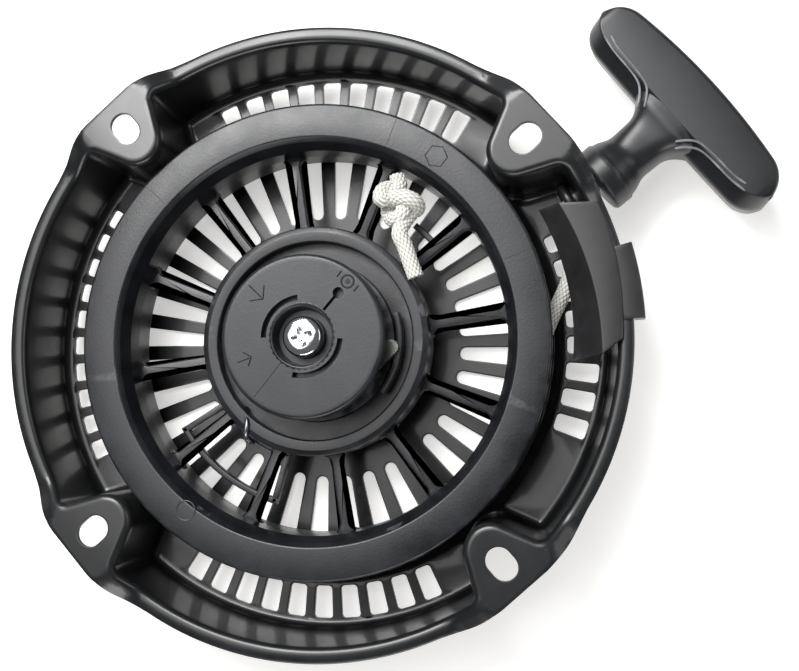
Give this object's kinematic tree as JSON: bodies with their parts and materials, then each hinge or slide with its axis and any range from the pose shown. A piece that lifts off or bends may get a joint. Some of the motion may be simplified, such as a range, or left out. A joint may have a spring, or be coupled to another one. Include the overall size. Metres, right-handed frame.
{
  "type": "recoil starter",
  "caption": "Pull-rope recoil starter for a small engine: pressed steel housing with slotted floor, rope reel on a sprung hub, ratchets under a guide disc, and a T-handle.",
  "frame": {"origin": "on the reel axis, in the plane of the four bolting pads that meet the engine", "axes": "+Z along the reel axis towards the engine, out of the open side; +X through one bolt slot, near the direction of the pull"},
  "size_m": [0.2422, 0.198, 0.0435],
  "materials": {
    "black_paint": "gloss black paint on pressed steel",
    "zinc_steel": "plain steel, turned",
    "bright_zinc": "bright zinc plate",
    "guide_block_plastic": "black moulded nylon, slight gloss",
    "reel_plastic": "moulded black nylon, semi-matte",
    "disc_plastic": "moulded dark grey nylon, fine grain",
    "spring_steel": "blued spring steel",
    "ratchet_steel": "sintered steel, greyish green",
    "nylon_rope": "white braided nylon",
    "grip_plastic": "moulded dark grey plastic, satin"
  },
  "bodies": {
    "housing": {"housing": "black_paint", "centre_post": "zinc_steel", "set_screw": "bright_zinc", "rope_guide": "guide_block_plastic", "rope_eyelet": "bright_zinc", "rope_lead": "nylon_rope"},
    "reel": {"reel": "reel_plastic", "spiral_spring": "spring_steel", "thrust_washer": "zinc_steel", "ratchet_spring_a": "spring_steel", "ratchet_spring_b": "spring_steel", "rope_coils": "nylon_rope", "rope_knot": "nylon_rope"},
    "ratchet_guide": {"ratchet_guide": "disc_plastic", "friction_spring": "spring_steel"},
    "ratchet_a": {"ratchet_a": "ratchet_steel"},
    "ratchet_b": {"ratchet_b": "ratchet_steel"},
    "handle": {"handle_grip": "grip_plastic", "handle_cover": "grip_plastic", "handle_washer": "zinc_steel", "handle_knot": "nylon_rope", "rope_pull": "nylon_rope"}
  },
  "joints": [
    {"name": "reel_spin", "type": "hinge", "parent": "housing", "child": "reel", "pos_m": [0, 0, -0.02], "axis": [0, 0, 1], "range_deg": [0, 880], "deforming": ["rope_coils", "spiral_spring"]},
    {"name": "handle_pull", "type": "slide", "parent": "housing", "child": "handle", "axis": [0.9994, -0.0349, 0], "range_m": [0, 1], "deforming": ["rope_pull"]},
    {"name": "guide_turn", "type": "hinge", "parent": "reel", "child": "ratchet_guide", "pos_m": [0, 0, 0], "axis": [0, 0, 1], "range_deg": [-35, 0]},
    {"name": "ratchet_a_swing", "type": "hinge", "parent": "reel", "child": "ratchet_a", "pos_m": [-0.00295, -0.01674, -0.0086], "axis": [0, 0, 1], "range_deg": [-25, 0]},
    {"name": "ratchet_b_swing", "type": "hinge", "parent": "reel", "child": "ratchet_b", "pos_m": [0.00295, 0.01674, -0.0086], "axis": [0, 0, 1], "range_deg": [-25, 0]}
  ],
  "couplings": [
    {"joint": "handle_pull", "follows": "reel_spin", "m_per_rad": 0.065},
    {"joint": "ratchet_a_swing", "follows": "guide_turn", "ratio": 0.71429},
    {"joint": "ratchet_b_swing", "follows": "guide_turn", "ratio": 0.71429}
  ]
}
